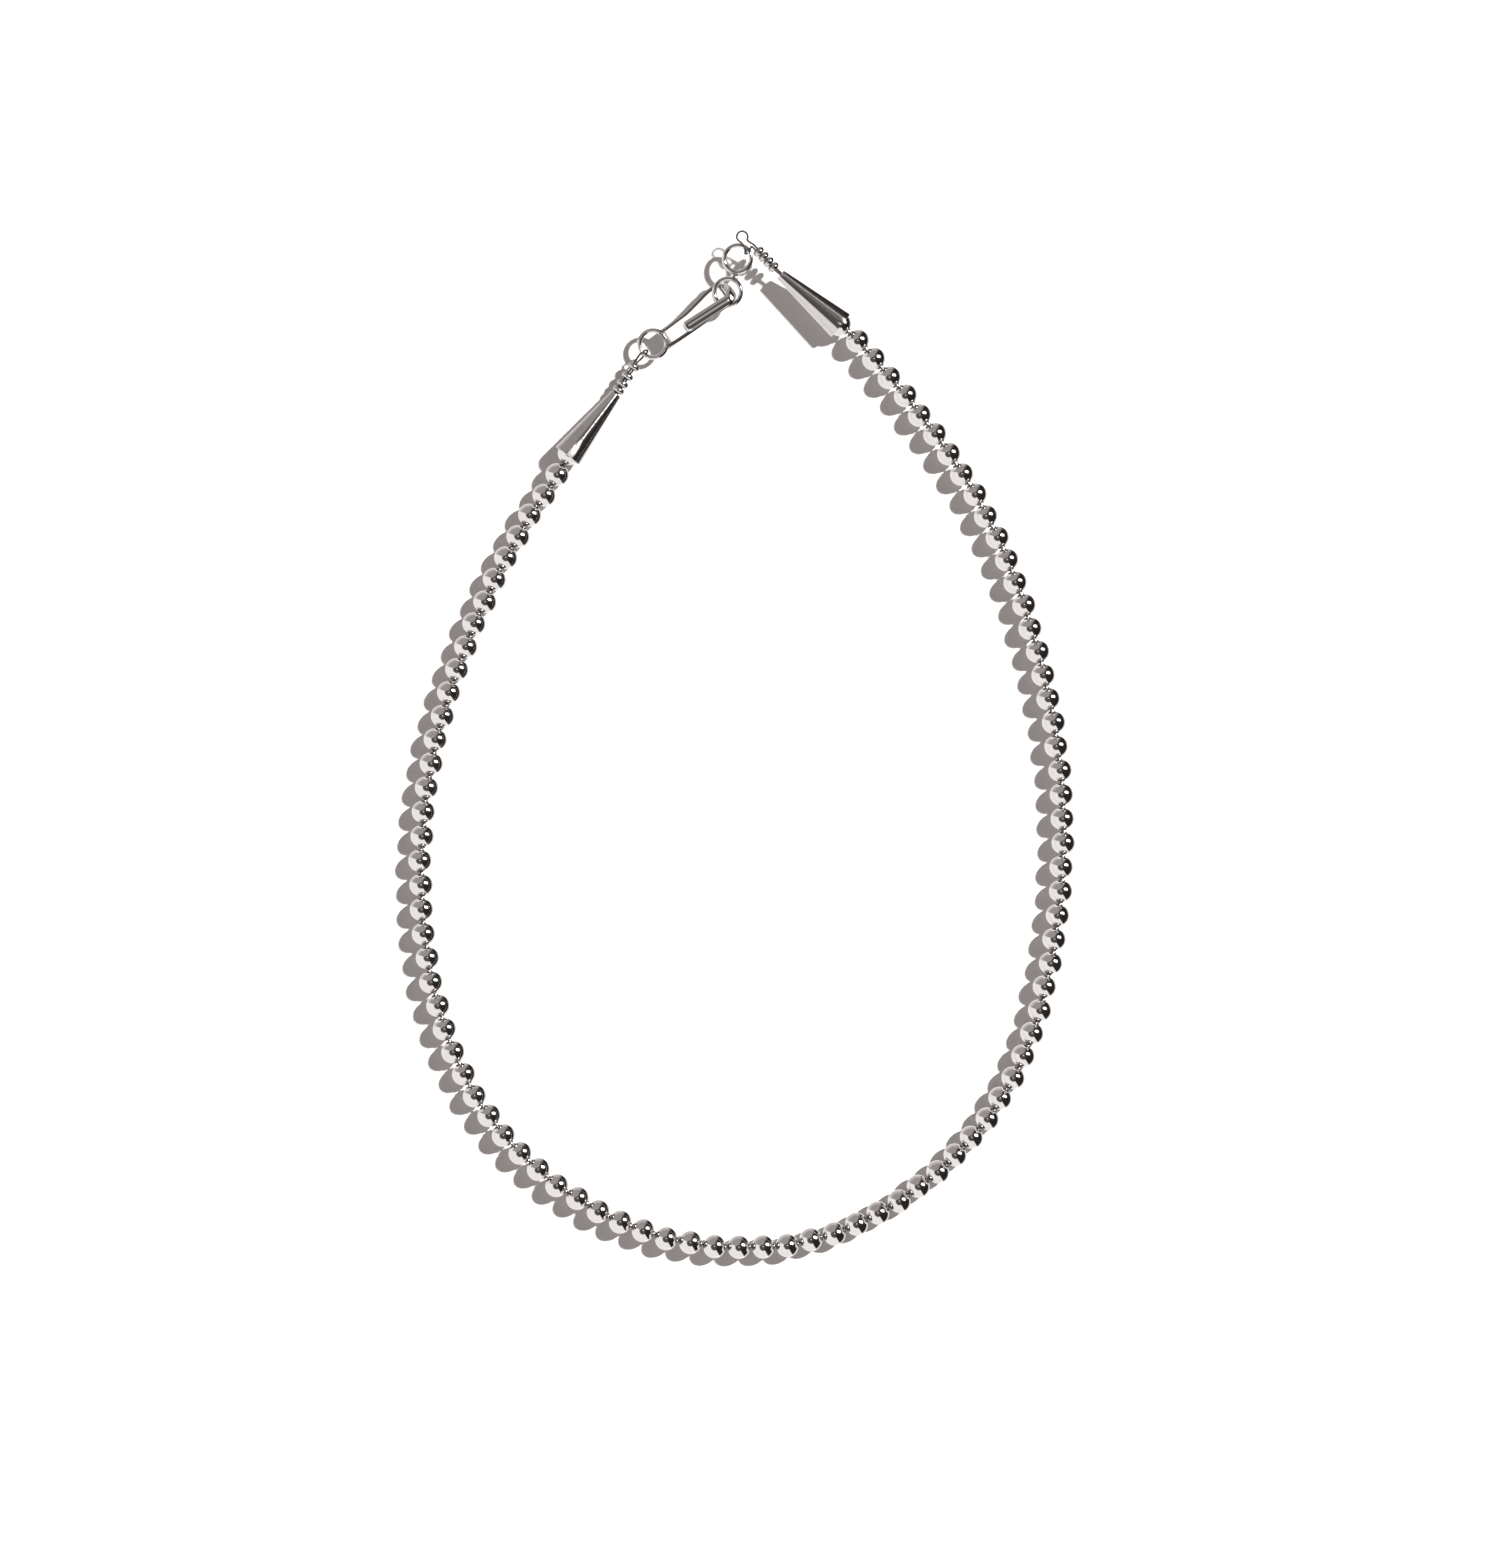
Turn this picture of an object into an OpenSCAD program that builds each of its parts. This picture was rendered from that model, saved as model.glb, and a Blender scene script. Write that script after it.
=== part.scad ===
// A closed necklace of round hollow silver pearls, lying flat: +X across it, +Y towards its clasp, +Z up.
// The origin is at the middle of its outline, on the surface that it lies on. All lengths are in millimetres.

/* [Pearls] */
// Width of a pearl across the string, a hollow ball of sheet silver
pearl_w = 4.32; // [4.1:0.02:4.36]
// Its length along the string, without the collars
pearl_len = 4; // [3.8:0.05:4]
// Thickness of a pearl's wall
pearl_wall = 0.3; // [0.25:0.05:0.5]
// Diameter of the stringing hole
hole_d = 0.9; // [0.8:0.05:1]
// Diameter of the raised collar round each hole
collar_d = 1.3; // [1.2:0.05:1.5]
// How far a collar stands past the ball
collar_rise = 0.1; // [0.02:0.02:0.1]

/* [String] */
// Distance from pearl to pearl on the right side
pitch_right = 4.4; // [4.39:0.01:4.41]
// Distance from pearl to pearl on the left side, which lies a little looser
pitch_left = 4.44; // [4.43:0.01:4.45]
// How far the pearls lie to the left and right of the smooth line
sway = 0.12; // [0:0.02:0.16]
// Diameter of the stringing wire
thread_d = 0.4; // [0.3:0.02:0.42]

/* [Cones] */
// Length of an end cone
cone_len = 14.4; // [14:0.1:14.6]
// Outer diameter of its mouth
mouth_d = 5.4; // [5.2:0.05:5.6]
// Outer diameter of its tip
tip_d = 2; // [1.8:0.1:2.2]
// Thickness of its wall
cone_wall = 0.3; // [0.2:0.05:0.3]

/* [Tip beads] */
// Diameter of the small rondelles between a cone's tip and the wire loop
rondelle_d = 2.25; // [2:0.05:2.4]
// Length of a rondelle along the string
rondelle_len = 1.15; // [1:0.05:1.2]
// Diameter of its hole, which takes the wire twice
rondelle_hole = 1.1; // [1:0.05:1.2]

/* [Clasp] */
// Outer diameter of the clasp's three rings
ring_d = 5.8; // [5.6:0.05:6]
// Diameter of the wire that the rings are made of
ring_wire = 0.85; // [0.75:0.05:0.95]
// Width of the hook's strip where it is soldered to its ring
strip_root = 3.4; // [3:0.1:3.6]
// Greatest width of the strip, just before it turns over
strip_wide = 4.5; // [4.2:0.1:4.7]
// Thickness of the strip
strip_t = 0.8; // [0.6:0.05:0.9]
// Width of the tongue that comes back over the strip
tongue_w = 2.1; // [1.8:0.05:2.2]
// Thickness of the tongue
tongue_t = 1; // [0.8:0.05:1.1]
// Distance from the strip's middle to the tongue's middle
hook_rise = 2.85; // [2.8:0.05:2.95]

/* [Hidden] */

pearl_r = pearl_w / 2;
ring_r = (ring_d - ring_wire) / 2;

// The string lies in stretches that each turn evenly: [pearls in the stretch, degrees turned over it]
right_run = [[5, 28], [6, 24], [6, 26], [6, 12], [6, 13], [6, 10], [6, 15], [6, 8]];
left_run = [[5, -24], [5, -21], [5, -23], [5, -16], [5, -12], [5, -12], [5, -8], [5, -10]];
low_pearl = [-0.55, -91.35];
right_start = -3;
left_start = 180;
sway_step = 145;

// A string's last pearl sits in a cone's mouth: [heading of the step to it, the cone's heading, depth in it,
// degrees that the cone falls towards its tip]
right_nest = [137, 140, 0.3, -2];
left_nest = [61, 52, 0.6, 1.2];
nest_lift = [0.12, 0.5];

// The rondelles sit loose on the wire past a cone's tip: [heading, degrees that the wire falls, distance of each]
right_tip = [134, -8, [1.85, 3.15, 4.45, 5.75]];
left_tip = [57, -0.5, [0.8, 2.15, 3.8, 5.85]];
pair_offset = 0.22;
tail_in_cone = 2.5;

// The clasp before it is raised: [x, y, height] of each ring's centre, and which way it leans
hook_ring = [-16.22, 72.78, 1.95];
hook_heading = 35.6;
hook_dip = 5.6;
catch_ring = [-2.6, 82.17, 2];
catch_heading = 73.5;
catch_lean = 149;
catch_tilt = 9;
ring_spacing = ring_d + 0.5;
solder_d = 0.9;
solder_at = -14;

// The stiff wires hold the clasp off the surface. All of it is raised, and turned about the hook's bend
clasp_bend = [-2.3, 82.7, 2];
clasp_raise = 2.1;
clasp_turn = 4.1;

// The hook's strip leaves the ring and widens: [distance along it, sideways bow, part of the widening done]
strip_rows = [
    [2, 0.48, 0], [4, 0.6, 0.15], [6, 0.6, 0.27], [8, 0.6, 0.38],
    [10, 0.42, 0.65], [12, 0.18, 0.92], [13.2, 0, 1], [14.5, -0.1, 1]
];
// It turns over at the far end, in steps of some degrees, and narrows into the tongue
turn_x = 15.7;
turn_step = 18;
// The tongue comes back and rounds off at its tip: [distance along the hook, part of its full size]
tongue_rows = [[14.4, 1], [12.8, 1], [11.2, 1], [9.6, 1], [8, 1], [7.1, 1], [6.6, 0.85], [6.35, 0.5]];
tongue_aside = 1.65;
tongue_swing = 3.1;
tongue_fall = 3.5;
// How round a cross-section's edges are, from 0 for a rectangle to 1 for an ellipse
strip_round = 0.5;
tongue_round = 0.8;

// The wire's loop round the catch before that is raised, from the last rondelle and back to it: [x, y, height]
right_loop = [
    [2.15, 90.75, 1.8], [1.5, 91.15, 1.9], [1, 91.65, 2.05], [1.1, 92.25, 2.15], [0.8, 92.9, 2.25],
    [0.1, 93.2, 2.35], [-0.6, 92.9, 2.45], [-0.9, 92.2, 2.5], [-0.7, 91.65, 2.5], [-0.25, 91.25, 2.55],
    [0.15, 90.9, 2.55], [0.45, 90.4, 2.55], [0.6, 89.95, 2.5], [0.62, 89.55, 2.3], [0.55, 89.2, 1.85],
    [0.7, 89.1, 1.35], [1.2, 89.4, 1.05], [1.45, 89.95, 1.05], [1.6, 90.3, 1.3], [1.9, 90.35, 1.6]
];
// The wire's loop round the hook's ring, in the same way
left_loop = [
    [-19.5, 69.6, 1.95], [-19.1, 70.15, 2.35], [-18.65, 70.75, 2.9], [-18.15, 71.2, 3.05], [-17.6, 71.6, 2.7],
    [-17.25, 71.6, 2.15], [-17.35, 71.2, 1.6], [-17.85, 70.7, 1.32], [-18.5, 70, 1.4], [-19.15, 69.35, 1.7]
];
loop_steps = 3;

function unit(v) = v / norm(v);
function heading(h) = [cos(h), sin(h)];
function slope(h, fall) = [cos(h) * cos(fall), sin(h) * cos(fall), -sin(fall)];

// Turn at each step of a run
function spread(run) = [for (row = run, k = [1 : row[0]]) row[1] / row[0]];

// Points at equal steps along a run, each with the string's heading there: [x, y, heading]
function chain(start, h0, turns, pitch) = [
    for (
        i = 0, h = h0, p = start;
        i <= len(turns);
        p = i < len(turns) ? p + pitch * heading(h + turns[i] / 2) : p,
        h = i < len(turns) ? h + turns[i] : h,
        i = i + 1
    ) [p.x, p.y, h]
];

// Centres of one side's pearls, from the lowest pearl to the one in the cone's mouth
function places(h0, run, pitch, nest) =
    let (
        line = chain(low_pearl, h0, spread(run), pitch),
        last = line[len(line) - 1],
        end = [last.x, last.y] + pitch * heading(nest[0])
    )
    concat(
        [
            for (i = [0 : len(line) - 1])
                let (aside = sway * sin(sway_step * i) * heading(line[i].z + 90))
                [line[i].x + aside.x, line[i].y + aside.y, pearl_r + (i == len(line) - 1 ? nest_lift[0] : 0)]
        ],
        [[end.x, end.y, pearl_r + nest_lift[1]]]
    );

right_places = places(right_start, right_run, pitch_right, right_nest);
left_places = places(left_start, left_run, pitch_left, left_nest);

// Centre of a cone's mouth, whose rim rests on the surface, and of its tip
function mouth(spots, nest) =
    let (end = spots[len(spots) - 1], back = nest[2] * heading(nest[1]))
    [end.x - back.x, end.y - back.y, mouth_d / 2 * cos(nest[3])];
function tip(spots, nest) = mouth(spots, nest) + cone_len * slope(nest[1], nest[3]);

// Places of the rondelles past the cone's tip, or of the wire through them, a little to one side
function past_tip(spots, nest, line, aside) = [
    for (distance = line[2])
        tip(spots, nest) + distance * slope(line[0], line[1]) + aside * slope(line[0] + 90, 0)
];

// A point of the clasp or of the loops in it, once the clasp is raised and turned
function raised(p) =
    let (
        d = p - clasp_bend,
        along = d.x * cos(hook_heading) + d.y * sin(hook_heading),
        aside = d.y * cos(hook_heading) - d.x * sin(hook_heading),
        far = along * cos(clasp_turn) - d.z * sin(clasp_turn),
        up = along * sin(clasp_turn) + d.z * cos(clasp_turn)
    )
    clasp_bend + far * slope(hook_heading, 0) + aside * slope(hook_heading + 90, 0) + [0, 0, up + clasp_raise];

// A smooth line through a list of points
function smooth(points, steps) = [
    for (i = [0 : len(points) - 2], k = [0 : steps - 1])
        let (
            a = points[max(i - 1, 0)],
            b = points[i],
            c = points[i + 1],
            d = points[min(i + 2, len(points) - 1)],
            t = k / steps
        )
        ((-a + 3 * b - 3 * c + d) * t * t * t + (2 * a - 5 * b + 4 * c - d) * t * t + (c - a) * t + 2 * b) / 2
];

// The wire's run through one end: out through the rondelles, round the loop, back and into the cone
function wire_end(spots, nest, line, loop, side) =
    let (
        start = tip(spots, nest),
        axis = slope(nest[1], nest[3]),
        out = past_tip(spots, nest, line, -side * pair_offset),
        back = past_tip(spots, nest, line, side * pair_offset)
    )
    concat(
        [start - tail_in_cone * 2 * axis],
        [for (k = [0 : 2]) out[k]],
        smooth(concat([out[3]], [for (p = loop) raised(p)], [back[3]]), loop_steps),
        reversed(back),
        [start - tail_in_cone * axis + [0, 0, pair_offset]]
    );

function reversed(list) = [for (i = [len(list) - 1 : -1 : 0]) list[i]];

// Stands a part that is made along +Z at a point, pointing along a direction
module aim(point, direction)
    translate(point)
        rotate([0, acos(unit(direction).z), atan2(direction.y, direction.x)])
            children();

// Raises and turns a part of the clasp in the same way as its points
module raise_clasp()
    translate(clasp_bend + [0, 0, clasp_raise])
        rotate([0, 0, hook_heading]) rotate([0, -clasp_turn, 0]) rotate([0, 0, -hook_heading])
            translate(-clasp_bend)
                children();

// A closed skin over a list of rings that have the same number of points
module skin(rings) {
    n = len(rings[0]);
    m = len(rings);
    polyhedron(
        points = [for (ring = rings, p = ring) p],
        faces = concat(
            [[for (k = [0 : n - 1]) k]],
            [for (i = [0 : m - 2], k = [0 : n - 1])
                let (a = i * n, b = a + n, next = (k + 1) % n) [a + k, b + k, b + next, a + next]],
            [[for (k = [n - 1 : -1 : 0]) (m - 1) * n + k]]
        )
    );
}

// A round wire along a path that is nowhere upright
module wire(path, d, sides = 6) {
    last = len(path) - 1;
    skin([
        for (i = [0 : last])
            let (
                ahead = unit(path[min(i + 1, last)] - path[max(i - 1, 0)]),
                across = unit(cross([0, 0, 1], ahead)),
                above = cross(ahead, across)
            )
            [
                for (k = [0 : sides - 1])
                    let (a = 360 * k / sides)
                    path[i] + d / 2 * (cos(a) * across + sin(a) * above)
            ]
    ]);
}

// Half of a pearl's outline beside the hole's axis, less a margin all round
module half_pearl(margin)
    translate([(pearl_w - pearl_len) / 2, 0]) circle(r = pearl_len / 2 - margin, $fn = 48);

// One pearl: a hollow ball, a little wider than long, with a raised collar round both holes, along +Z
module pearl() {
    reach = pearl_len / 2 + collar_rise;
    rotate_extrude($fn = 48)
        intersection() {
            difference() {
                union() {
                    half_pearl(0);
                    translate([0, -reach]) square([collar_d / 2, 2 * reach]);
                }
                half_pearl(pearl_wall);
            }
            translate([hole_d / 2, -reach]) square([pearl_w, 2 * reach]);
        }
}

// One side's pearls, from the given one on, each turned the way that its neighbours lie
module pearls(spots, nest, first) {
    last = len(spots) - 1;
    line = concat(spots, [spots[last] + pitch_right * slope(nest[1], nest[3])]);
    for (i = [first : last])
        aim(spots[i], line[i + 1] - line[max(i - 1, 0)]) pearl();
}

module pearls_right() color("gainsboro") pearls(right_places, right_nest, 0);

module pearls_left() color("gainsboro") pearls(left_places, left_nest, 1);

// The stringing wire, from the tail in one cone to the tail in the other
module thread() {
    color("slategray") wire(
        concat(
            wire_end(right_places, right_nest, right_tip, right_loop, 1),
            reversed([for (i = [1 : len(right_places) - 1]) right_places[i]]),
            left_places,
            reversed(wire_end(left_places, left_nest, left_tip, left_loop, -1))
        ),
        thread_d
    );
}

// A plain hollow cone, mouth down, along +Z
module cone() {
    rotate_extrude($fn = 64)
        polygon([
            [mouth_d / 2 - cone_wall, 0],
            [mouth_d / 2, 0],
            [tip_d / 2, cone_len],
            [tip_d / 2 - cone_wall, cone_len]
        ]);
}

module cone_right()
    color("silver") aim(mouth(right_places, right_nest), slope(right_nest[1], right_nest[3])) cone();

module cone_left()
    color("silver") aim(mouth(left_places, left_nest), slope(left_nest[1], left_nest[3])) cone();

// A rondelle with a fully rounded edge, its hole along +Z
module rondelle() {
    rotate_extrude($fn = 48)
        intersection() {
            translate([rondelle_d / 2 - rondelle_len / 2, 0]) circle(d = rondelle_len, $fn = 32);
            translate([rondelle_hole / 2, -rondelle_len]) square([rondelle_d, 2 * rondelle_len]);
        }
}

module tip_bead(side, k) {
    spots = side == "right" ? right_places : left_places;
    nest = side == "right" ? right_nest : left_nest;
    line = side == "right" ? right_tip : left_tip;
    color("lightgray")
        aim(past_tip(spots, nest, line, 0)[k - 1], slope(line[0], line[1])) rondelle();
}

// A ring of round wire, flat on the plane through its centre
module ring()
    rotate_extrude($fn = 64) translate([ring_r, 0]) circle(d = ring_wire, $fn = 24);

// The two rings that the hook goes into and the string hangs on, soldered edge to edge
module catch() {
    outer = [ring_spacing, 0, 0];
    foot = ring_r * [cos(solder_at), sin(solder_at), 0];
    next = outer + ring_r * unit(foot - outer);
    color("darkgray")
        raise_clasp() translate(catch_ring)
            rotate([0, 0, catch_lean]) rotate([0, catch_tilt, 0]) rotate([0, 0, catch_heading - catch_lean]) {
                ring();
                translate(outer) ring();
                aim(foot, next - foot) cylinder(d = solder_d, h = norm(next - foot), $fn = 24);
            }
}

// The hook's strip, its turn and its tongue: [along, above, to the side, width, thickness, roundness]
function hook_rows() =
    let (half = hook_rise / 2)
    concat(
        [
            for (row = strip_rows)
                [row[0], 0, row[1], strip_root + (strip_wide - strip_root) * row[2], strip_t, strip_round]
        ],
        [
            for (a = [0 : turn_step : 180])
                let (t = a / 180)
                [
                    turn_x + half * sin(a),
                    half * (1 - cos(a)),
                    tongue_aside * pow(t, 1.5),
                    tongue_w + (strip_wide - tongue_w) * pow(1 - t, 2),
                    strip_t + (tongue_t - strip_t) * t,
                    strip_round + (tongue_round - strip_round) * t
                ]
        ],
        [
            for (row = tongue_rows)
                let (back = turn_x - row[0])
                [
                    row[0],
                    hook_rise - back * tan(tongue_fall),
                    tongue_aside - back * tan(tongue_swing),
                    tongue_w * row[1],
                    tongue_t * row[1],
                    tongue_round
                ]
        ]
    );

// A cross-section with rounded edges, across the strip and through its thickness
function section(width, thick, roundness, sides = 14) = [
    for (k = [0 : sides - 1])
        let (c = cos(360 * (k + 0.5) / sides), s = sin(360 * (k + 0.5) / sides))
        [width / 2 * sign(c) * pow(abs(c), roundness), thick / 2 * sign(s) * pow(abs(s), roundness)]
];

// The hook, bent from one strip that is soldered to its ring
module hook() {
    rows = hook_rows();
    last = len(rows) - 1;
    color("darkgray")
        raise_clasp() aim(hook_ring, slope(hook_heading, hook_dip)) rotate([0, -90, 0]) {
            ring();
            skin([
                for (i = [0 : last])
                    let (
                        a = rows[max(i - 1, 0)],
                        b = rows[min(i + 1, last)],
                        ahead = unit([b[0] - a[0], b[1] - a[1]])
                    )
                    [for (q = section(rows[i][3], rows[i][4], rows[i][5]))
                        [rows[i][0] - q.y * ahead.y, q.x - rows[i][2], rows[i][1] + q.y * ahead.x]]
            ]);
        }
}

pearls_right();
pearls_left();
thread();
cone_right();
cone_left();
for (side = ["right", "left"], k = [1 : 4])
    tip_bead(side, k);
catch();
hook();
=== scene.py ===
import math
import random

import bpy
from mathutils import Matrix, Vector


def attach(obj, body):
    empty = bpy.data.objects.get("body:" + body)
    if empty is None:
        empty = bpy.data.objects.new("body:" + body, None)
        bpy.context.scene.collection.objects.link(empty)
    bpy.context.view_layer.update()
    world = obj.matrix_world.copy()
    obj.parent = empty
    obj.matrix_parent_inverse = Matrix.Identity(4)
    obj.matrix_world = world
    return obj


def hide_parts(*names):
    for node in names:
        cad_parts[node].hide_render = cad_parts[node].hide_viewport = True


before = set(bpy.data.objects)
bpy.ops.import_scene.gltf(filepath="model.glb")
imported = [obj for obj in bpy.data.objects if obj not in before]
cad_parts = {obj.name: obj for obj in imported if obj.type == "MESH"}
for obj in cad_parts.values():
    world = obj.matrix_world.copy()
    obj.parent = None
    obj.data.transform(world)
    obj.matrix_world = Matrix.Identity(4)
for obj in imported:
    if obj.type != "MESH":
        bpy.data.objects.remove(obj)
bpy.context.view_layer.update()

# Camera
# It looks straight down on the middle of the picture, through a long lens, with the clasp at the top.
# The picture's long side takes in 283 mm at the height of the pearls' middle.
view_middle = (0.00183, -0.00607)
view_length = 0.2829
camera_height = 1.6
pearl_middle = 0.0022
sensor = 36

bpy.ops.object.camera_add(location=(*view_middle, camera_height), rotation=(0, 0, 0))
camera = bpy.context.object
camera.data.sensor_width = sensor
camera.data.lens = sensor * (camera_height - pearl_middle) / view_length
camera.data.clip_end = 20
bpy.context.scene.camera = camera
bpy.context.scene.view_settings.view_transform = "Standard"

# Table
# A plain pale sheet of matt card, far wider than the necklace, that shows no edge.
# Its fine tooth shows only from close by.
table_size = 8
card_colour = (0.86, 0.845, 0.83)
tooth_scale = 1500
tooth_depth = 0.0001
tooth_strength = 0.05


class Signal:
    """One output in a node tree. Arithmetic on signals adds Math nodes to that tree."""

    def __init__(self, tree, socket=None):
        self.tree = tree
        self.socket = socket

    def node(self, kind, settings=None, sockets=None, output=0):
        """Adds a node, with its settings first and then the values or links of its sockets."""
        made = self.tree.nodes.new("ShaderNode" + kind)
        for name, value in (settings or {}).items():
            setattr(made, name, value)
        for name, value in (sockets or {}).items():
            if isinstance(value, Signal):
                self.tree.links.new(value.socket, made.inputs[name])
            else:
                made.inputs[name].default_value = value
        return Signal(self.tree, made.outputs[output] if len(made.outputs) else None)

    def sum_of(self, operation, *values):
        return self.node("Math", {"operation": operation}, dict(enumerate(values)))

    def __add__(self, other):
        return self.sum_of("ADD", self, other)

    def __sub__(self, other):
        return self.sum_of("SUBTRACT", self, other)

    def __rsub__(self, other):
        return self.sum_of("SUBTRACT", other, self)

    def __mul__(self, other):
        return self.sum_of("MULTIPLY", self, other)

    __radd__ = __add__
    __rmul__ = __mul__

    def step(self, low, high):
        """0 below low, 1 above high and a smooth rise between them."""
        return self.node("MapRange", {"interpolation_type": "SMOOTHSTEP"}, {
            "Value": self, "From Min": low, "From Max": high})


def node_tree(owner):
    """Empties the node tree of a material or world, and starts signals in it."""
    owner.use_nodes = True
    owner.node_tree.nodes.clear()
    return Signal(owner.node_tree)


bpy.ops.object.select_all(action="DESELECT")
bpy.ops.mesh.primitive_plane_add(size=table_size)
table = bpy.context.object
table.name = "table"
# The silver mirrors the studio's own lit table and not this one
table.visible_glossy = False
card = bpy.data.materials.new("card")
nodes = node_tree(card)
place = nodes.node("TexCoord", output=3)
tooth = nodes.node("TexNoise", None, {"Vector": place, "Scale": tooth_scale, "Detail": 3})
shader = nodes.node("BsdfPrincipled", None, {
    "Base Color": (*card_colour, 1),
    "Roughness": 0.9,
    "Specular IOR Level": 0.1,
    "Normal": nodes.node("Bump", None, {
        "Height": tooth, "Strength": tooth_strength, "Distance": tooth_depth}),
})
nodes.node("OutputMaterial", None, {"Surface": shader})
table.data.materials.append(card)

# Studio
# A small hard sun stands at the upper right, and the silver mirrors two soft lamps beside it.
# The silver also mirrors white boards at the left and in front, a grey wall behind, a dark rig overhead with
# two small lamps, and the lit table below. The rest of that room is nearly black and a little warm.
light_azimuth = 33
light_elevation = 44
sun_size = 4
sun_strength = 6.4
room_tone = 0.285
backdrop_tone = 0.85
dark_tone = 0.02
board_tone = 0.86
wall_tone = 0.55
wall_fade = 0.25
rig_tone = 0.08
soft_tone = 1.4
lens_tones = (1.3, 0.35)
lit_table_tone = 0.7
below_tone = 0.9
dark_tint = (1, 0.9, 0.88, 1)
bright_tint = (1, 0.98, 0.965, 1)


def bearing(azimuth, elevation=0):
    """The direction at an azimuth counted from +X towards +Y, and an elevation, in degrees."""
    a, e = math.radians(azimuth), math.radians(elevation)
    return Vector((math.cos(a) * math.cos(e), math.sin(a) * math.cos(e), math.sin(e)))


bpy.ops.object.light_add(type="SUN")
sun = bpy.context.object
sun.data.angle = math.radians(sun_size)
sun.data.energy = sun_strength
sun.rotation_euler = bearing(light_azimuth, light_elevation).to_track_quat("Z", "Y").to_euler()

world = bpy.data.worlds.new("studio")
bpy.context.scene.world = world
nodes = node_tree(world)
direction = nodes.node("TexCoord")


def facing(azimuth, elevation=0):
    """How far a direction of the room points a given way, from -1 to 1."""
    return nodes.node(
        "VectorMath", {"operation": "DOT_PRODUCT"}, {0: direction, 1: bearing(azimuth, elevation)}, output=1
    )


height = facing(0, 90)
boards = facing(250).step(-0.04, 0.04) * facing(210).step(-0.06, 0.06)
boards = boards * (1 - height.step(0.72, 0.86))
wall = facing(70).step(-0.04, 0.04) * facing(150).step(-0.05, 0.35)
rig = facing(225, 84).step(0.88, 0.92)
soft_light = facing(22, 27).step(0.965, 0.983) + facing(31, 38).step(0.965, 0.983)
lens_lights = facing(66, 85).step(0.9972, 0.9986) * lens_tones[0]
lens_lights = lens_lights + facing(170, 86).step(0.9972, 0.9986) * lens_tones[1]
below = 1 - height.step(-0.85, -0.7)
lit_table = facing(340).step(0.3, 0.7) * (1 - height.step(-0.65, -0.48)) * (1 - below)
room = dark_tone + boards * board_tone + wall * (wall_tone - height.step(-0.4, 0) * wall_fade)
room = room * (1 - rig) + rig * rig_tone + soft_light * soft_tone + lens_lights + lit_table * lit_table_tone
room = room * (1 - below) + below * below_tone
rays = nodes.node("LightPath")
glossy = Signal(nodes.tree, rays.socket.node.outputs["Is Glossy Ray"])
seen = Signal(nodes.tree, rays.socket.node.outputs["Is Camera Ray"])
strength = glossy * room + seen * backdrop_tone + (1 - glossy - seen) * room_tone
nodes.node("OutputWorld", None, {
    "Surface": nodes.node("Background", None, {
        "Color": nodes.node("Mix", {"data_type": "RGBA"}, {
            0: strength, 6: dark_tint, 7: bright_tint}, output=2),
        "Strength": strength,
    }),
})

# Pearls
# Hollow balls pressed from silver sheet, a little wider than long, soldered and polished to a mirror.
# Each has a raised collar round both stringing holes. Its hole and the groove round its foot are darkened,
# partly by tarnish where the buff doesn't reach and partly with painted shade.
# One pearl is turned and copied to its place on the string.
mm = 0.001
pearl_w = 4.32
pearl_len = 4
pearl_wall = 0.3
hole_d = 0.9
collar_d = 1.3
collar_rise = 0.1
lip = 0.05
pitch_right = 4.4
pitch_left = 4.44
sway = 0.12
sway_step = 145
low_pearl = (-0.55, -91.35)
right_start = -3
left_start = 180
right_run = [(5, 28), (6, 24), (6, 26), (6, 12), (6, 13), (6, 10), (6, 15), (6, 8)]
left_run = [(5, -24), (5, -21), (5, -23), (5, -16), (5, -12), (5, -12), (5, -8), (5, -10)]
right_nest = (137, 140, 0.3, -2)
left_nest = (61, 52, 0.6, 1.2)
nest_lift = (0.12, 0.5)
tarnish_and_shade_from = 1.5
groove_out = 0.08
# Dark colour for tarnish, dark joints and painted shade.
tarnish_and_shade_colour = (0.16, 0.145, 0.135, 1)


def flat(degrees):
    """The level direction at an angle counted from +X towards +Y."""
    return Vector((math.cos(math.radians(degrees)), math.sin(math.radians(degrees)), 0))


def slope(heading, fall):
    """The direction of a heading that falls by some degrees."""
    return bearing(heading, -fall)


def chain(heading, run, pitch):
    """Points at equal steps along a run of (pearls, degrees turned), each with the string's heading there."""
    point = Vector((*low_pearl, 0))
    line = [(point.copy(), heading)]
    for pearls, turned in run:
        for _ in range(pearls):
            point += pitch * flat(heading + turned / pearls / 2)
            heading += turned / pearls
            line.append((point.copy(), heading))
    return line


def places(heading, run, pitch, nest):
    """Centres of one side's pearls, from the lowest pearl to the one in the cone's mouth."""
    line = chain(heading, run, pitch)
    rest = Vector((0, 0, pearl_w / 2))
    spots = []
    for i, (point, way) in enumerate(line):
        aside = sway * math.sin(math.radians(sway_step * i)) * flat(way + 90)
        spots.append(point + aside + rest)
    spots[-1].z += nest_lift[0]
    spots.append(line[-1][0] + pitch * flat(nest[0]) + rest + Vector((0, 0, nest_lift[1])))
    return spots


right_places = places(right_start, right_run, pitch_right, right_nest)
left_places = places(left_start, left_run, pitch_left, left_nest)


def arc(x, z, radius, start, end, steps):
    """Points on an arc in an outline, its angles counted from the outline's +X in degrees."""
    turns = [math.radians(start + (end - start) * i / steps) for i in range(steps + 1)]
    return [(x + radius * math.cos(t), z + radius * math.sin(t)) for t in turns]


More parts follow.
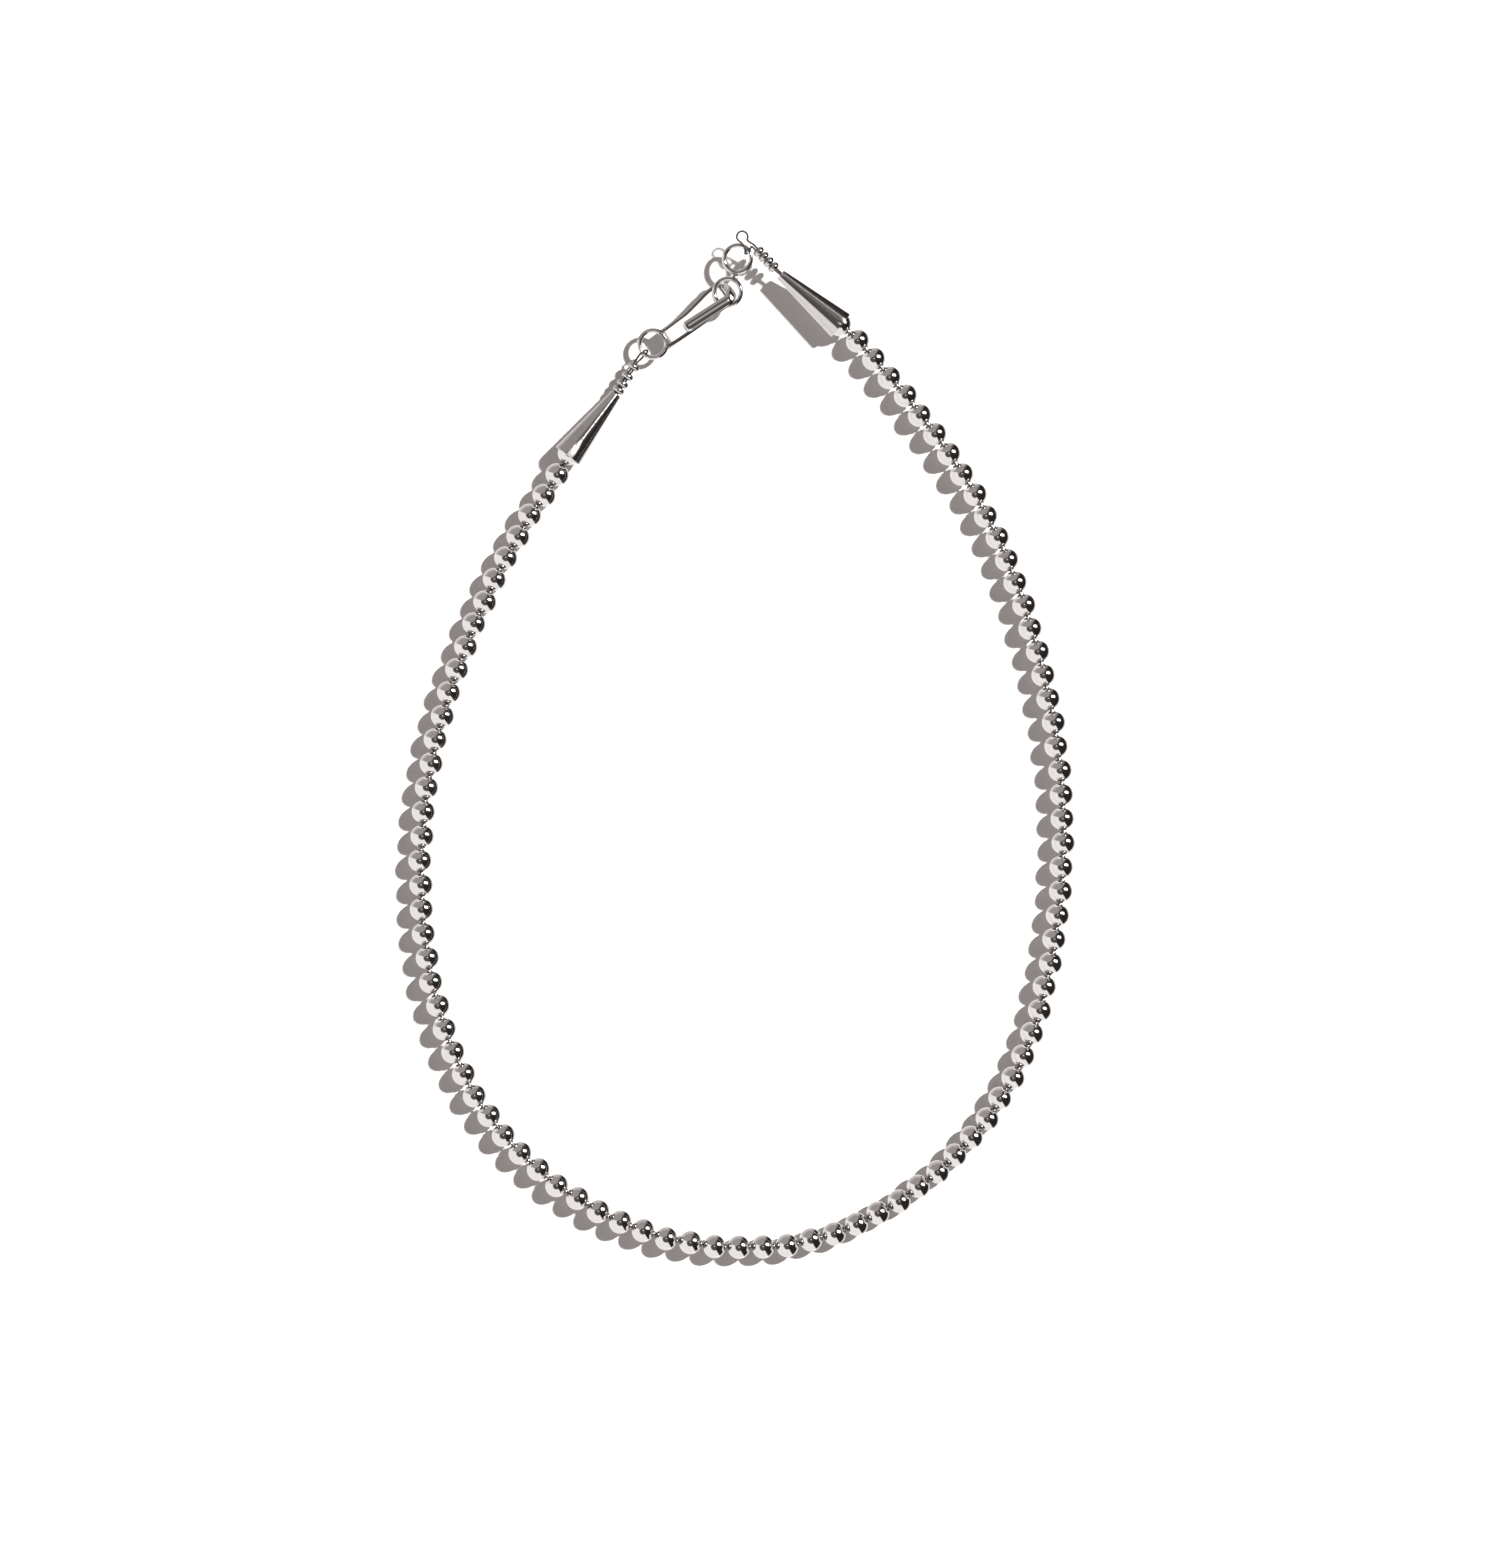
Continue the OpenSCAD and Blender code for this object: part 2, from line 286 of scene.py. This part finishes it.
def turned(name, outline, steps):
    """A shape turned about +Z from a closed outline of (radius, height) points, in millimetres."""
    bpy.ops.object.select_all(action="DESELECT")
    bpy.ops.mesh.primitive_plane_add(size=1, enter_editmode=True)
    piece = bpy.context.object
    piece.name = name
    bpy.ops.mesh.merge(type="CENTER")
    x, z = outline[0]
    bpy.ops.transform.translate(value=(x, 0, z))
    for (x0, z0), (x1, z1) in zip(outline, outline[1:] + outline[:1]):
        bpy.ops.mesh.extrude_region_move(TRANSFORM_OT_translate={"value": (x1 - x0, 0, z1 - z0)})
    bpy.ops.mesh.select_all(action="SELECT")
    bpy.ops.mesh.remove_doubles(threshold=0.001)
    bpy.ops.mesh.spin(steps=steps, angle=math.tau, center=(0, 0, 0), axis=(0, 0, 1))
    bpy.ops.mesh.select_all(action="SELECT")
    bpy.ops.mesh.remove_doubles(threshold=0.001)
    bpy.ops.mesh.normals_make_consistent(inside=False)
    bpy.ops.object.mode_set(mode="OBJECT")
    bpy.ops.object.shade_smooth_by_angle(angle=math.radians(40))
    return piece


def mark(piece, name, amount):
    """Stores a number at each point of a piece, worked out from the point's place."""
    values = piece.data.attributes.new(name, "FLOAT", "POINT")
    values.data.foreach_set("value", [amount(v.co) for v in piece.data.vertices])


def copy_to(piece, matrix):
    """A copy of a piece with its own mesh, set in its place."""
    copy = piece.copy()
    copy.data = piece.data.copy()
    copy.data.transform(matrix)
    bpy.context.collection.objects.link(copy)
    return copy


def joined(name, parts):
    """Joins parts into one piece and brings it from millimetres to the frame's metres."""
    bpy.ops.object.select_all(action="DESELECT")
    for part in parts:
        part.select_set(True)
    bpy.context.view_layer.objects.active = parts[0]
    if len(parts) > 1:
        bpy.ops.object.join()
    piece = bpy.context.object
    piece.name = name
    piece.data.transform(Matrix.Scale(mm, 4))
    return piece


def aimed(point, way):
    """Stands what is made along +Z at a point, pointing along a direction."""
    return Matrix.Translation(point) @ way.to_track_quat("Z", "Y").to_matrix().to_4x4()


def smooth_fall(distance, near, far):
    """1 up to a near distance, 0 past a far one, smooth between them."""
    t = min(max((far - distance) / (far - near), 0), 1)
    return t * t * (3 - 2 * t)


bulge = (pearl_w - pearl_len) / 2
outer_r = pearl_len / 2
inner_r = outer_r - pearl_wall
collar_angle = math.degrees(math.acos((collar_d / 2 - bulge) / outer_r))
hole_angle = math.degrees(math.acos((hole_d / 2 - bulge) / inner_r))
collar_top = outer_r + collar_rise
half_outline = (
    arc(bulge, 0, outer_r, 0, collar_angle - 8, 10)
    + arc(bulge, 0, outer_r, collar_angle - 5, collar_angle, 2)
    + arc(collar_d / 2 - lip, collar_top - lip, lip, 0, 90, 2)
    + arc(hole_d / 2 + lip, collar_top - lip, lip, 90, 180, 2)
    + arc(bulge, 0, inner_r, hole_angle, 0, 4)
)
pearl_outline = half_outline + [(x, -z) for x, z in reversed(half_outline[1:-1])]
pearl = turned("pearl", pearl_outline, 32)
groove = collar_d / 2 + groove_out
# Painted shade, with tarnish, in each stringing hole and in the groove round the collar's foot.
mark(pearl, "tarnish_and_shade", lambda p: (abs(p.z) > tarnish_and_shade_from) * max(
    smooth_fall(math.hypot(p.x, p.y), hole_d / 2 + 0.02, collar_d / 2 - 0.02),
    smooth_fall(abs(math.hypot(p.x, p.y) - groove), 0.06, 0.2),
))


def silver(
    name, dent_size=0.0016, dent_depth=0.00001, colour=(0.93, 0.915, 0.9), roughness=0.06, seamed=False
):
    """Polished silver with shallow dents, fine buffing marks, and tarnish and painted shade darkening its
    corners.

    A seamed one is satin and rippled along its solder seam.
    """
    material = bpy.data.materials.new(name)
    nodes = node_tree(material)
    place = nodes.node("TexCoord", output=3)
    dents = nodes.node("TexNoise", None, {"Vector": place, "Scale": 1 / dent_size, "Detail": 1})
    buffing = nodes.node("TexNoise", None, {"Vector": place, "Scale": 9000, "Detail": 2})
    haze = nodes.node("TexNoise", None, {"Vector": place, "Scale": 350, "Detail": 3})
    # The stored mark darkens the colour: tarnish and dark solder joints, and painted shade in holes, grooves
    # and between rondelles.
    tarnish_and_shade = nodes.node("Attribute", {"attribute_name": "tarnish_and_shade"}, output=2)
    darkening = tarnish_and_shade * 0.9 + haze.step(0.55, 0.8) * 0.08
    rough = roughness + haze * 0.03 + tarnish_and_shade * 0.3
    relief = dents + buffing * 0.02
    if seamed:
        seam = nodes.node("Attribute", {"attribute_name": "seam"}, output=2)
        ripples = nodes.node("TexNoise", None, {"Vector": place, "Scale": 1500, "Detail": 2})
        rough = rough + seam * 0.25
        relief = relief + seam * ripples * 3
    shader = nodes.node("BsdfPrincipled", None, {
        "Metallic": 1,
        "Base Color": nodes.node("Mix", {"data_type": "RGBA"}, {
            0: darkening, 6: (*colour, 1), 7: tarnish_and_shade_colour}, output=2),
        "Roughness": rough,
        "Normal": nodes.node("Bump", None, {"Height": relief, "Strength": 1, "Distance": dent_depth}),
    })
    nodes.node("OutputMaterial", None, {"Surface": shader})
    return material


pearl_silver = silver("pearl_silver")


def pearl_string(node, spots, first):
    """One side's pearls, from the given one on, each turned the way that its neighbours lie."""
    nest = right_nest if node == "pearls_right" else left_nest
    chance = random.Random(node)
    line = spots + [spots[-1] + pitch_right * slope(nest[1], nest[3])]
    parts = []
    for i in range(first, len(spots)):
        roll = Matrix.Rotation(chance.uniform(0, math.tau), 4, "Z")
        parts.append(copy_to(pearl, aimed(spots[i], line[i + 1] - line[max(i - 1, 0)]) @ roll))
    piece = joined(node.replace("pearls", "pearl_string"), parts)
    piece.data.materials.append(pearl_silver)
    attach(piece, "root")
    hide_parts(node)


pearl_string("pearls_right", right_places, 0)
pearl_string("pearls_left", left_places, 1)
bpy.data.objects.remove(pearl)

# Cones
# Two long plain end cones, each rolled from silver sheet and soldered along its length, with smooth lips.
# Each covers the end of the string, and the last pearl sits in its mouth. The solder seam is satin, and
# shows more on the left cone, where it widens towards the mouth.
cone_len = 14.4
mouth_d = 5.4
tip_d = 2
cone_wall = 0.3
cone_lip = 0.12
cone_rows = 14
cone_taper = (mouth_d - tip_d) / 2 / cone_len
inner_darkening = 0.6

cone_silver = silver(
    "cone_silver", dent_size=0.005, dent_depth=0.00003, colour=(0.8, 0.785, 0.77), roughness=0.13, seamed=True
)


def mouth(spots, nest):
    """Centre of a cone's mouth, whose rim rests on the table."""
    back = nest[2] * flat(nest[1])
    return Vector((spots[-1].x - back.x, spots[-1].y - back.y, mouth_d / 2 * math.cos(math.radians(nest[3]))))


def tip(spots, nest):
    """Centre of a cone's tip."""
    return mouth(spots, nest) + cone_len * slope(nest[1], nest[3])


def cone(node, spots, nest, seam_angle, seam_amount, flare):
    """One end cone. Its seam lies to the right of its top, and widens by flare towards the mouth."""
    lean = math.degrees(math.atan(cone_taper))
    rim = arc(mouth_d / 2 - cone_lip, cone_lip, cone_lip, -90, lean, 4)
    end = arc(tip_d / 2 - cone_lip, cone_len - cone_lip, cone_lip, lean, 90, 3)
    run = Vector(end[0]) - Vector(rim[-1])
    side = [tuple(Vector(rim[-1]) + run * k / cone_rows) for k in range(1, cone_rows)]
    outline = rim + side + end + [(tip_d / 2 - cone_wall, cone_len), (mouth_d / 2 - cone_wall, 0)]
    shell = turned(node, outline, 96)

    def seam(p):
        """How much of the seam's satin a point has."""
        off = abs(math.atan2(-p.x, p.y) - math.radians(seam_angle)) * math.hypot(p.x, p.y)
        return seam_amount * smooth_fall(off - flare * smooth_fall(p.z, 1.5, 4), 0.05, 0.25)

    mark(shell, "seam", seam)
    # The inside of the cone's wall is made darker.
    within_wall = mouth_d / 2 - cone_wall + 0.05
    mark(shell, "tarnish_and_shade", lambda p: inner_darkening * (math.hypot(p.x, p.y) < within_wall - p.z * cone_taper))
    piece = joined("end_" + node, [copy_to(shell, aimed(mouth(spots, nest), slope(nest[1], nest[3])))])
    bpy.data.objects.remove(shell)
    piece.data.materials.append(cone_silver)
    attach(piece, "root")
    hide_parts(node)


cone("cone_right", right_places, right_nest, 28, 0.3, 0)
cone("cone_left", left_places, left_nest, 9, 0.9, 0.55)

# Tip beads
# Four small cast rondelles a side, between the cone's tip and the wire's loop, uneven from their casting.
# Painted shade darkens them round their holes, where they face their neighbours, and fades out at their rims.
# They sit loose on the doubled wire.
rondelle_d = 2.25
rondelle_len = 1.15
rondelle_hole = 1.1
right_tip = (134, -8, (1.85, 3.15, 4.45, 5.75))
left_tip = (57, -0.5, (0.8, 2.15, 3.8, 5.85))

tip_silver = silver("tip_silver", dent_size=0.0005, dent_depth=0.00004, colour=(0.78, 0.765, 0.75))


def past_tip(spots, nest, line, aside=0):
    """Places past a cone's tip, on the line through the rondelles or a little to one side of it."""
    way, fall, distances = line
    return [tip(spots, nest) + distance * slope(way, fall) + aside * flat(way + 90) for distance in distances]


edge_r = rondelle_len / 2
bore_angle = 180 - math.degrees(math.acos((rondelle_d / 2 - edge_r - rondelle_hole / 2) / edge_r))
rondelle = turned("rondelle", arc(rondelle_d / 2 - edge_r, 0, edge_r, -bore_angle, bore_angle, 20), 40)
dark_r = rondelle_hole / 2 + 0.25
# Painted shade round the hole, where each rondelle faces the next.
mark(rondelle, "tarnish_and_shade", lambda p: smooth_fall(math.hypot(p.x, p.y), dark_r, rondelle_d / 2))
for side, spots, nest, line in (
    ("right", right_places, right_nest, right_tip),
    ("left", left_places, left_nest, left_tip),
):
    for k, point in enumerate(past_tip(spots, nest, line), 1):
        piece = joined(f"rondelle_{side}_{k}", [copy_to(rondelle, aimed(point, slope(*line[:2])))])
        piece.data.materials.append(tip_silver)
        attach(piece, "root")
        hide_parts(f"tip_bead_{side}_{k}")
bpy.data.objects.remove(rondelle)

# Stringing wire
# A fine steel cable of three twisted strands. It comes out of each cone through the rondelles, loops round
# the clasp's ring and goes back in, and the same cable carries every pearl from one cone to the other.
# It is stiff, so it holds the whole clasp a little off the table, tipped about the hook's bend.
thread_d = 0.4
strand_d = 0.215
twist = 1.3
pair_offset = 0.22
tail_in_cone = 2.5
wire_step = 0.1
string_step = 0.7
wire_sides = 8
steel_dark = (0.035, 0.033, 0.031, 1)
steel_light = (0.12, 0.115, 0.11, 1)
right_loop = [
    (2.15, 90.75, 1.8), (1.5, 91.15, 1.9), (1, 91.65, 2.05), (1.1, 92.25, 2.15), (0.8, 92.9, 2.25),
    (0.1, 93.2, 2.35), (-0.6, 92.9, 2.45), (-0.9, 92.2, 2.5), (-0.7, 91.65, 2.5), (-0.25, 91.25, 2.55),
    (0.15, 90.9, 2.55), (0.45, 90.4, 2.55), (0.6, 89.95, 2.5), (0.62, 89.55, 2.3), (0.55, 89.2, 1.85),
    (0.7, 89.1, 1.35), (1.2, 89.4, 1.05), (1.45, 89.95, 1.05), (1.6, 90.3, 1.3), (1.9, 90.35, 1.6),
]
left_loop = [
    (-19.5, 69.6, 1.95), (-19.1, 70.15, 2.35), (-18.65, 70.75, 2.9), (-18.15, 71.2, 3.05), (-17.6, 71.6, 2.7),
    (-17.25, 71.6, 2.15), (-17.35, 71.2, 1.6), (-17.85, 70.7, 1.32), (-18.5, 70, 1.4), (-19.15, 69.35, 1.7),
]

hook_heading = 35.6
clasp_bend = Vector((-2.3, 82.7, 2))
clasp_raise = 2.1
clasp_turn = 4.1
raised = (
    Matrix.Translation(clasp_bend + Vector((0, 0, clasp_raise)))
    @ Matrix.Rotation(math.radians(hook_heading), 4, "Z")
    @ Matrix.Rotation(math.radians(-clasp_turn), 4, "Y")
    @ Matrix.Rotation(math.radians(-hook_heading), 4, "Z")
    @ Matrix.Translation(-clasp_bend)
)


def smooth_line(points, steps):
    """A smooth line through a list of points."""
    line = []
    for i in range(len(points) - 1):
        a, b = points[max(i - 1, 0)], points[i]
        c, d = points[i + 1], points[min(i + 2, len(points) - 1)]
        for k in range(steps):
            t = k / steps
            line.append((
                (-a + 3 * b - 3 * c + d) * t ** 3 + (2 * a - 5 * b + 4 * c - d) * t ** 2 + (c - a) * t + 2 * b
            ) / 2)
    return line


def wire_end(spots, nest, line, loop, side):
    """The wire's run through one end: out through the rondelles, round the loop, back and into the cone."""
    start, axis = tip(spots, nest), slope(nest[1], nest[3])
    out = past_tip(spots, nest, line, -side * pair_offset)
    back = past_tip(spots, nest, line, side * pair_offset)
    bend = smooth_line([out[3]] + [raised @ Vector(p) for p in loop] + [back[3]], 6)
    tail = start - tail_in_cone * axis + Vector((0, 0, pair_offset))
    return [start - tail_in_cone * 2 * axis] + out[:3] + bend + back[::-1] + [tail]


def evenly(points, step):
    """Points at equal steps along a line."""
    line, left = [points[0]], step
    for a, b in zip(points, points[1:]):
        length = (b - a).length
        while left <= length:
            line.append(a + (b - a) * left / length)
            left += step
        left -= length
    return line


def tube(points, diameter, sides):
    """A round wire along a line of points, closed at both ends."""
    curve = bpy.data.curves.new("wire", "CURVE")
    curve.dimensions = "3D"
    curve.bevel_depth = diameter / 2
    curve.bevel_resolution = sides // 2 - 2
    curve.use_fill_caps = True
    spline = curve.splines.new("POLY")
    spline.points.add(len(points) - 1)
    for spot, point in zip(spline.points, points):
        spot.co = (*point, 1)
    piece = bpy.data.objects.new("wire", curve)
    bpy.context.collection.objects.link(piece)
    bpy.ops.object.select_all(action="DESELECT")
    piece.select_set(True)
    bpy.context.view_layer.objects.active = piece
    bpy.ops.object.convert(target="MESH")
    bpy.ops.object.shade_smooth()
    return bpy.context.object


def strands(points):
    """Three strands twisted round a line of points."""
    line = evenly(points, wire_step)
    made = []
    for strand in range(3):
        path = []
        for i in range(1, len(line) - 1):
            ahead = (line[i + 1] - line[i - 1]).normalized()
            across = Vector((0, 0, 1)).cross(ahead).normalized()
            a = math.tau * (strand / 3 + i * wire_step / twist)
            out = math.cos(a) * across + math.sin(a) * ahead.cross(across)
            path.append(line[i] + (thread_d - strand_d) / 2 * out)
        made.append(tube(path, strand_d, wire_sides))
    return made


right_end = wire_end(right_places, right_nest, right_tip, right_loop, 1)
left_end = wire_end(left_places, left_nest, left_tip, left_loop, -1)
string_line = [right_end[-1]] + right_places[:0:-1] + left_places + [left_end[-1]]
string_run = tube(evenly(string_line, string_step), thread_d, wire_sides)
parts = strands(right_end) + strands(left_end) + [string_run]
wire = joined("stringing_wire", parts)
steel = bpy.data.materials.new("wire_steel")
nodes = node_tree(steel)
grain = nodes.node("TexNoise", None, {"Vector": nodes.node("TexCoord", output=3), "Scale": 2500, "Detail": 2})
shader = nodes.node("BsdfPrincipled", None, {
    "Metallic": 1,
    "Base Color": nodes.node("Mix", {"data_type": "RGBA"}, {
        0: grain, 6: steel_dark, 7: steel_light}, output=2),
    "Roughness": 0.3 + grain * 0.2,
})
nodes.node("OutputMaterial", None, {"Surface": shader})
wire.data.materials.append(steel)
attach(wire, "root")
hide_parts("thread")

# Catch
# Two rings of round silver wire, each soldered shut, set side by side and soldered edge to edge.
# The upper one holds the string's loop, and the hook goes into the lower one.
ring_d = 5.8
ring_wire = 0.85
ring_spacing = ring_d + 0.5
solder_d = 0.9
solder_at = -14
solder_waist = 0.5
solder_sink = 0.1
solder_flat = 0.75
catch_ring = Vector((-2.6, 82.17, 2))
catch_heading = 73.5
catch_lean = 149
catch_tilt = 9
ring_r = (ring_d - ring_wire) / 2

clasp_silver = silver("clasp_silver", dent_size=0.002, dent_depth=0.000003, colour=(0.86, 0.845, 0.83))


def ring(seam):
    """A ring of round wire round the origin, darkened at its soldered seam."""
    made = turned("ring", arc(ring_r, 0, ring_wire / 2, 0, 342, 19), 96)
    mark(made, "tarnish_and_shade", lambda p: 0.5 * smooth_fall((p - ring_r * flat(seam)).length, 0.45, 0.8))
    return made


solder_foot = ring_r * flat(solder_at)
outer_centre = Vector((ring_spacing, 0, 0))
solder_top = outer_centre + ring_r * (solder_foot - outer_centre).normalized()
solder_line = solder_top - solder_foot
solder_len = solder_line.length
waist = arc(solder_d / 2 + solder_waist, solder_len / 2, solder_waist, 240, 120, 8)
solder = turned("solder", [(0.01, solder_sink)] + waist + [(0.01, solder_len - solder_sink)], 32)
mark(solder, "tarnish_and_shade", lambda p: 0.85)
pose = (
    raised
    @ Matrix.Translation(catch_ring)
    @ Matrix.Rotation(math.radians(catch_lean), 4, "Z")
    @ Matrix.Rotation(math.radians(catch_tilt), 4, "Y")
    @ Matrix.Rotation(math.radians(catch_heading - catch_lean), 4, "Z")
)
lower, upper = ring(solder_at), ring(180)
upper.data.transform(Matrix.Translation(outer_centre))
solder.data.transform(Matrix.Diagonal((1, 1, solder_flat, 1)) @ aimed(solder_foot, solder_line))
for part in (lower, upper, solder):
    part.data.transform(pose)
catch = joined("catch_rings", [lower, upper, solder])
catch.data.materials.append(clasp_silver)
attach(catch, "root")
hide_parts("catch")

# Hook
# One strip of silver, soldered by its narrow end to a ring of wire. It widens, turns over and comes back
# over itself as a narrow rounded tongue, which holds the catch's ring.
strip_root = 3.4
strip_wide = 4.5
strip_t = 0.8
tongue_w = 2.1
tongue_t = 1
hook_rise = 2.85
hook_ring = Vector((-16.22, 72.78, 1.95))
hook_dip = 5.6
strip_rows = [
    (2, 0.48, 0), (4, 0.6, 0.15), (6, 0.6, 0.27), (8, 0.6, 0.38),
    (10, 0.42, 0.65), (12, 0.18, 0.92), (13.2, 0, 1), (14.5, -0.1, 1),
]
turn_x = 15.7
turn_step = 18
tongue_rows = [
    (14.4, 1), (12.8, 1), (11.2, 1), (9.6, 1), (8, 1), (7.1, 1),
    (6.8, 0.95), (6.55, 0.82), (6.4, 0.62), (6.36, 0.4),
]
tongue_aside = 1.65
tongue_swing = 3.1
tongue_fall = 3.5
strip_edge = 0.19
tongue_edge = 0.41
corner_steps = 6
end_inset = 0.1


def hook_rows():
    """The strip, its turn and its tongue: (along, above, to the side, width, thickness, roundness)."""
    half = hook_rise / 2
    rows = [
        (along, 0, aside, strip_root + (strip_wide - strip_root) * wider, strip_t, strip_edge)
        for along, aside, wider in strip_rows
    ]
    for a in range(0, 181, turn_step):
        t = a / 180
        rows.append((
            turn_x + half * math.sin(math.radians(a)),
            half * (1 - math.cos(math.radians(a))),
            tongue_aside * t ** 1.5,
            tongue_w + (strip_wide - tongue_w) * (1 - t) ** 2,
            strip_t + (tongue_t - strip_t) * t,
            strip_edge + (tongue_edge - strip_edge) * t,
        ))
    for along, size in tongue_rows:
        back = turn_x - along
        rows.append((
            along,
            hook_rise - back * math.tan(math.radians(tongue_fall)),
            tongue_aside - back * math.tan(math.radians(tongue_swing)),
            tongue_w * size,
            tongue_t * size,
            tongue_edge,
        ))
    return smooth_line([Vector(row) for row in rows], 3) + [Vector(rows[-1])]


def rounded_bar(name, rows):
    """A bar through rounded sections, bridged one to the next and closed at both ends."""
    bpy.ops.object.select_all(action="DESELECT")
    bpy.ops.mesh.primitive_plane_add(enter_editmode=True)
    bar = bpy.context.object
    bar.name = name
    bpy.ops.mesh.delete(type="VERT")
    corners = 4 * (corner_steps + 1)
    for i, (along, above, aside, width, thick, edge) in enumerate(rows):
        before, after = rows[max(i - 1, 0)], rows[min(i + 1, len(rows) - 1)]
        rise = math.atan2(after[1] - before[1], after[0] - before[0])
        bpy.ops.mesh.select_all(action="DESELECT")
        bpy.ops.mesh.primitive_plane_add(size=1)
        bpy.ops.mesh.bevel(offset=edge, affect="VERTICES", segments=corner_steps, offset_type="OFFSET")
        bpy.ops.transform.resize(value=(thick, width, 1), center_override=(0, 0, 0))
        bpy.ops.transform.rotate(value=rise - math.pi / 2, orient_axis="Y", center_override=(0, 0, 0))
        bpy.ops.transform.translate(value=(along, -aside, above))
        bpy.ops.mesh.delete(type="ONLY_FACE")
    bpy.ops.object.mode_set(mode="OBJECT")
    for i in range(len(rows) - 1):
        bpy.ops.object.mode_set(mode="EDIT")
        bpy.ops.mesh.select_all(action="DESELECT")
        bpy.ops.object.mode_set(mode="OBJECT")
        for v in bar.data.vertices[i * corners:(i + 2) * corners]:
            v.select = True
        bpy.ops.object.mode_set(mode="EDIT")
        bpy.ops.mesh.bridge_edge_loops()
        bpy.ops.object.mode_set(mode="OBJECT")
    for end in (0, len(rows) - 1):
        bpy.ops.object.mode_set(mode="EDIT")
        bpy.ops.mesh.select_all(action="DESELECT")
        bpy.ops.object.mode_set(mode="OBJECT")
        for v in bar.data.vertices[end * corners:(end + 1) * corners]:
            v.select = True
        bpy.ops.object.mode_set(mode="EDIT")
        bpy.ops.mesh.edge_face_add()
        bpy.ops.mesh.inset(thickness=end_inset)
        bpy.ops.object.mode_set(mode="OBJECT")
    bpy.ops.object.mode_set(mode="EDIT")
    bpy.ops.mesh.select_all(action="SELECT")
    bpy.ops.mesh.normals_make_consistent(inside=False)
    bpy.ops.object.mode_set(mode="OBJECT")
    bpy.ops.object.shade_smooth_by_angle(angle=math.radians(45))
    return bar


bar = rounded_bar("hook_bar", hook_rows())
mark(bar, "tarnish_and_shade", lambda p: 0.6 * smooth_fall(math.hypot(p.x, p.y), 3, 3.4))
hook_eye = ring(0)
pose = (
    raised
    @ Matrix.Translation(hook_ring)
    @ Matrix.Rotation(math.radians(hook_heading), 4, "Z")
    @ Matrix.Rotation(math.radians(hook_dip), 4, "Y")
)
for part in (bar, hook_eye):
    part.data.transform(pose)
hook = joined("clasp_hook", [bar, hook_eye])
hook.data.materials.append(clasp_silver)
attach(hook, "root")
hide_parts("hook")
